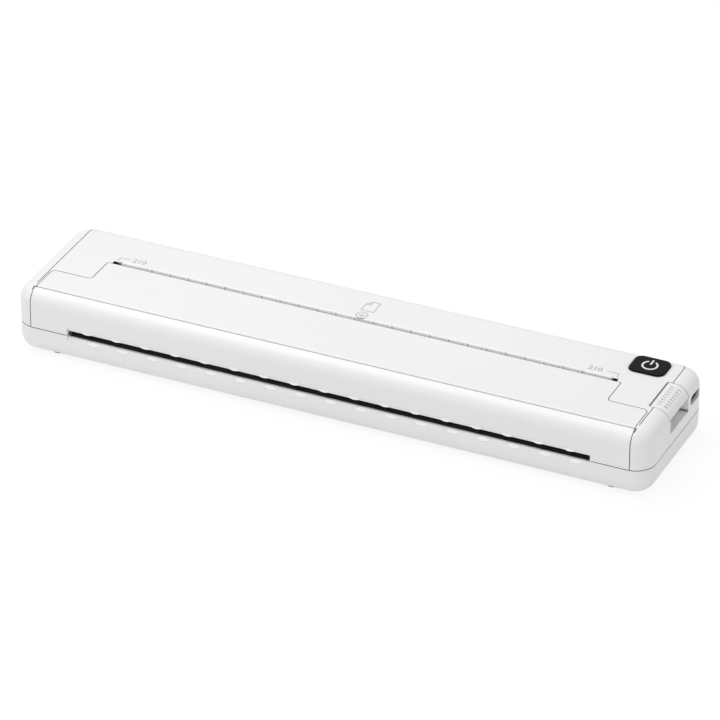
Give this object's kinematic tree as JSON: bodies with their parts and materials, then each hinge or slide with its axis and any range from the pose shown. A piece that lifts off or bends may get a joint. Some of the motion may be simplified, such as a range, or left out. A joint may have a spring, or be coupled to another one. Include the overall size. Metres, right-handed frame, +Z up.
{
  "type": "portable thermal printer",
  "caption": "Slim bar-shaped portable thermal printer with a front-hinged lid, a paper inlet on top, an outlet slot in front, a side release key and a raised power button.",
  "frame": {"origin": "on the table, under the middle of the body", "axes": "+X along the body towards the power button and the release key, +Y from the outlet slot's face towards the rear, +Z up"},
  "size_m": [0.269, 0.059, 0.0287],
  "materials": {
    "casing_white": "fine matt texture",
    "graphite_plastic": "matt",
    "foot_rubber": "matt",
    "platen_rubber": "ground, matt",
    "button_black": "glossy",
    "symbol_white": "satin",
    "steel": "satin",
    "sheet_steel": "satin, zinc plated",
    "aluminium": "extruded, satin",
    "ceramic": "glazed",
    "driver_resin": "satin",
    "gear_plastic": "satin",
    "brass": "satin",
    "board_green": "solder mask",
    "chip_black": "matt",
    "connector_ivory": "satin",
    "flat_cable": "polyimide film",
    "cell_wrap": "shrink film",
    "wire_red": "satin"
  },
  "bodies": {
    "base": {"bottom_shell": "casing_white", "surround_frame": "casing_white", "front_panel": "casing_white", "top_plate": "casing_white", "chassis": "graphite_plastic", "rubber_feet": "foot_rubber", "case_screws": "steel", "idler_posts": "steel", "gear_plate": "sheet_steel", "motor_body": "sheet_steel", "motor_screws": "steel", "head_springs": "steel", "paper_sensor": "driver_resin", "release_key_pin": "steel", "latch_spring": "steel", "power_switch": "graphite_plastic", "usb_c_shell": "steel", "usb_c_tongue": "driver_resin", "main_board": "board_green", "board_chips": "chip_black", "board_screws": "steel", "head_connector": "connector_ivory", "head_cable": "flat_cable", "battery_cells": "cell_wrap", "battery_tabs": "sheet_steel", "battery_leads": "wire_red"},
    "lid": {"lid_cover": "casing_white", "lid_hinge_pins": "steel", "platen_bracket": "graphite_plastic", "bracket_screws": "steel", "platen_bushings": "gear_plastic"},
    "platen": {"platen_shaft": "steel", "platen_rubber": "platen_rubber", "platen_gear": "gear_plastic"},
    "idler_front": {"idler_gear_front": "gear_plastic"},
    "idler_rear": {"idler_gear_rear": "gear_plastic"},
    "motor_rotor": {"motor_shaft": "steel", "motor_pinion": "brass"},
    "print_head": {"thermal_head": "ceramic", "head_driver_cover": "driver_resin", "head_heatsink": "aluminium", "head_pivot_pins": "steel"},
    "release_key": {"release_key": "casing_white"},
    "latch_bar": {"latch_bar": "graphite_plastic"},
    "power_button": {"power_button": "button_black", "power_symbol": "symbol_white"}
  },
  "joints": [
    {"name": "lid_hinge", "type": "hinge", "parent": "base", "child": "lid", "pos_m": [0, -0.02305, 0.0265], "axis": [1, 0, 0], "range_deg": [0, 90]},
    {"name": "platen_spin", "type": "hinge", "parent": "lid", "child": "platen", "pos_m": [0, -0.008, 0.019], "axis": [1, 0, 0], "continuous": true},
    {"name": "idler_front_spin", "type": "hinge", "parent": "base", "child": "idler_front", "pos_m": [-0.1082, -0.01201, 0.01094], "axis": [1, 0, 0], "continuous": true},
    {"name": "idler_rear_spin", "type": "hinge", "parent": "base", "child": "idler_rear", "pos_m": [-0.1082, -0.00324, 0.00892], "axis": [1, 0, 0], "continuous": true},
    {"name": "motor_spin", "type": "hinge", "parent": "base", "child": "motor_rotor", "pos_m": [-0.1082, 0.00458, 0.01058], "axis": [1, 0, 0], "continuous": true},
    {"name": "print_head_tilt", "type": "hinge", "parent": "base", "child": "print_head", "pos_m": [0, -0.018, 0.01175], "axis": [1, 0, 0], "range_deg": [-2, 0], "stiffness_Nm_per_rad": 2, "springref_deg": 2.86, "deforming": ["head_springs", "head_cable"]},
    {"name": "release_key_pivot", "type": "hinge", "parent": "base", "child": "release_key", "pos_m": [0.1284, 0, 0.0266], "axis": [0, -1, 0], "range_deg": [0, 20]},
    {"name": "latch_bar_slide", "type": "slide", "parent": "base", "child": "latch_bar", "axis": [1, 0, 0], "range_m": [0, 0.0024], "stiffness_N_per_m": 250, "springref_m": -0.002, "deforming": ["latch_spring"]},
    {"name": "power_button_press", "type": "slide", "parent": "base", "child": "power_button", "axis": [0, 0, -1], "range_m": [0, 0.00045], "stiffness_N_per_m": 500, "springref_m": -0.001}
  ],
  "couplings": [
    {"joint": "idler_front_spin", "follows": "platen_spin", "ratio": -1.25},
    {"joint": "idler_rear_spin", "follows": "platen_spin", "ratio": 1},
    {"joint": "motor_spin", "follows": "platen_spin", "ratio": -1.6667},
    {"joint": "release_key_pivot", "follows": "latch_bar_slide", "rad_per_m": 145.44}
  ]
}
